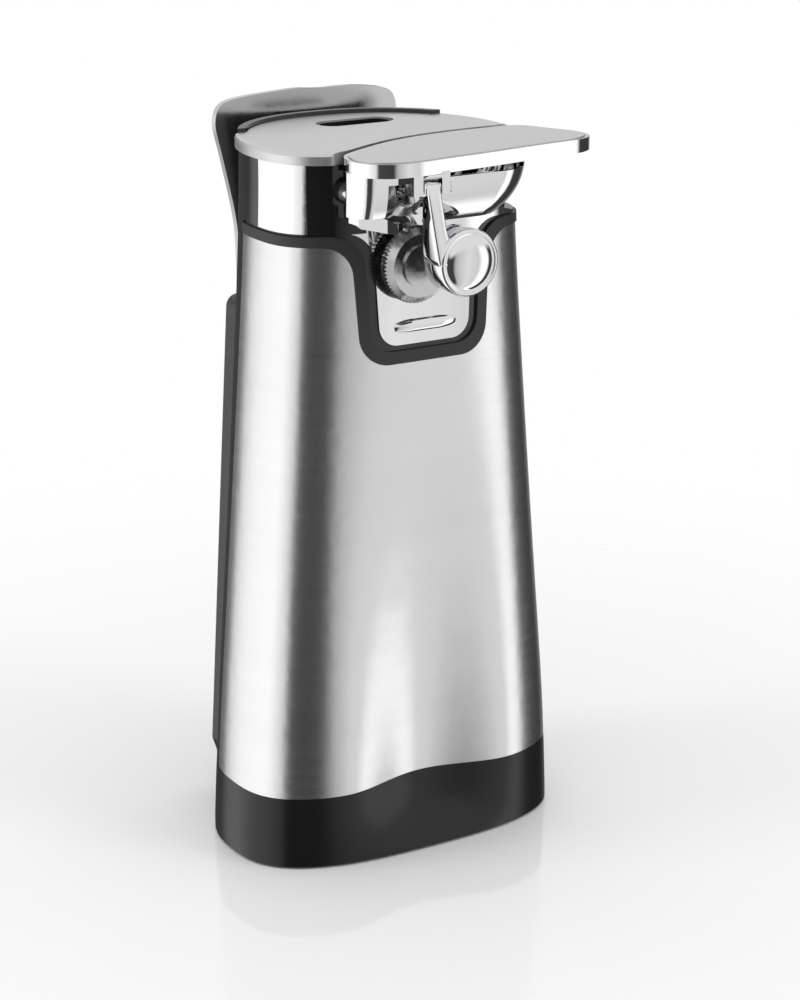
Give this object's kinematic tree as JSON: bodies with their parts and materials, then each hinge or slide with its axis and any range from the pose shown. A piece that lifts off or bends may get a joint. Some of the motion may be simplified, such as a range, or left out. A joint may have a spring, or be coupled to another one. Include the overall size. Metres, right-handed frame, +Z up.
{
  "type": "electric can opener",
  "caption": "Tall electric can opener with a brushed steel body, chrome cutting head, press-down lever, swinging lid magnet, knife-sharpener slot and a tool stored behind it.",
  "frame": {"origin": "on the floor under the middle of the whole machine", "axes": "+Z up, -Y towards the user (cutting side), +X towards the lever's free end"},
  "size_m": [0.116, 0.106, 0.2384],
  "materials": {
    "brushed_steel": "brushed",
    "chrome": "polished",
    "satin_silver": "satin",
    "black_gloss": "glossy",
    "charcoal": "matt",
    "black_satin": "satin",
    "inner_plastic": "matt",
    "rubber": "matt",
    "gear_nylon": "satin",
    "plate_steel": "zinc plated",
    "blade_steel": "ground",
    "lamination": "varnished",
    "copper": "enamelled wire",
    "bronze": "sintered",
    "ceramic": "fired",
    "magnet_black": "ground",
    "tool_steel": "satin"
  },
  "bodies": {
    "body": {"base_plinth": "black_satin", "base_cover": "black_satin", "rubber_feet": "rubber", "cord_gland": "rubber", "steel_wrap": "brushed_steel", "front_housing": "inner_plastic", "rear_housing": "black_gloss", "housing_screws": "plate_steel", "trim_band": "charcoal", "bezel": "black_gloss", "head_plate": "chrome", "head_deck": "black_gloss", "top_cap": "satin_silver", "sharpener_guide": "black_satin", "sharpener_rods": "ceramic", "tool_holder": "black_satin", "front_gear_plate": "plate_steel", "rear_gear_plate": "plate_steel", "spacer_posts": "plate_steel", "gear_axles": "blade_steel", "drive_bushing": "bronze", "motor_core": "lamination", "motor_coil": "copper", "front_bracket": "plate_steel", "rear_bracket": "plate_steel", "front_motor_bush": "bronze", "rear_motor_bush": "bronze", "lever_bush": "bronze", "return_spring": "blade_steel", "switch_body": "black_satin"},
    "lever": {"lever_frame": "chrome", "lever_cover": "satin_silver", "lever_shaft": "blade_steel", "lever_crank": "plate_steel", "rim_guide": "chrome", "cutter_screw": "chrome"},
    "cutter": {"cutter_wheel": "blade_steel"},
    "magnet_holder": {"magnet_arm": "chrome", "magnet": "magnet_black", "hinge_pin": "blade_steel"},
    "tool": {"multi_tool": "tool_steel"},
    "drive": {"drive_wheel": "blade_steel", "drive_shaft": "blade_steel", "drive_gear": "gear_nylon"},
    "second_wheel": {"second_gear": "gear_nylon"},
    "first_wheel": {"first_gear": "gear_nylon"},
    "rotor": {"motor_rotor": "lamination", "motor_shaft": "blade_steel", "motor_pinion": "bronze"},
    "switch_pin": {"switch_plunger": "gear_nylon"}
  },
  "joints": [
    {"name": "lever_press", "type": "hinge", "parent": "body", "child": "lever", "pos_m": [-0.027, -0.022, 0.218], "axis": [0, 1, 0], "range_deg": [0, 16.5], "stiffness_Nm_per_rad": 0.35, "springref_deg": -34.38},
    {"name": "cutter_spin", "type": "hinge", "parent": "lever", "child": "cutter", "pos_m": [-0.013, -0.0331, 0.2189], "axis": [0, 1, 0], "continuous": true},
    {"name": "magnet_swing", "type": "hinge", "parent": "lever", "child": "magnet_holder", "pos_m": [-0.0109, -0.0444, 0.221], "axis": [-1, 0, 0], "range_deg": [0, 75]},
    {"name": "tool_lift", "type": "slide", "parent": "body", "child": "tool", "axis": [0, 0, 1], "range_m": [0, 0.068]},
    {"name": "rotor_spin", "type": "hinge", "parent": "body", "child": "rotor", "pos_m": [0, 0.026, 0.12801], "axis": [0, 1, 0], "continuous": true},
    {"name": "first_wheel_spin", "type": "hinge", "parent": "body", "child": "first_wheel", "pos_m": [-0.0045, 0.006, 0.15036], "axis": [0, 1, 0], "continuous": true},
    {"name": "second_wheel_spin", "type": "hinge", "parent": "body", "child": "second_wheel", "pos_m": [0.0005, 0.001, 0.17281], "axis": [0, 1, 0], "continuous": true},
    {"name": "drive_spin", "type": "hinge", "parent": "body", "child": "drive", "pos_m": [-0.0055, -0.015, 0.1945], "axis": [0, 1, 0], "continuous": true},
    {"name": "switch_pin_slide", "type": "slide", "parent": "body", "child": "switch_pin", "axis": [0, 0, -1], "range_m": [0, 0.0028]}
  ],
  "couplings": [
    {"joint": "first_wheel_spin", "follows": "rotor_spin", "ratio": -0.1875},
    {"joint": "second_wheel_spin", "follows": "rotor_spin", "ratio": 0.052083},
    {"joint": "drive_spin", "follows": "rotor_spin", "ratio": -0.020032},
    {"joint": "switch_pin_slide", "follows": "lever_press", "m_per_rad": 0.0092}
  ]
}
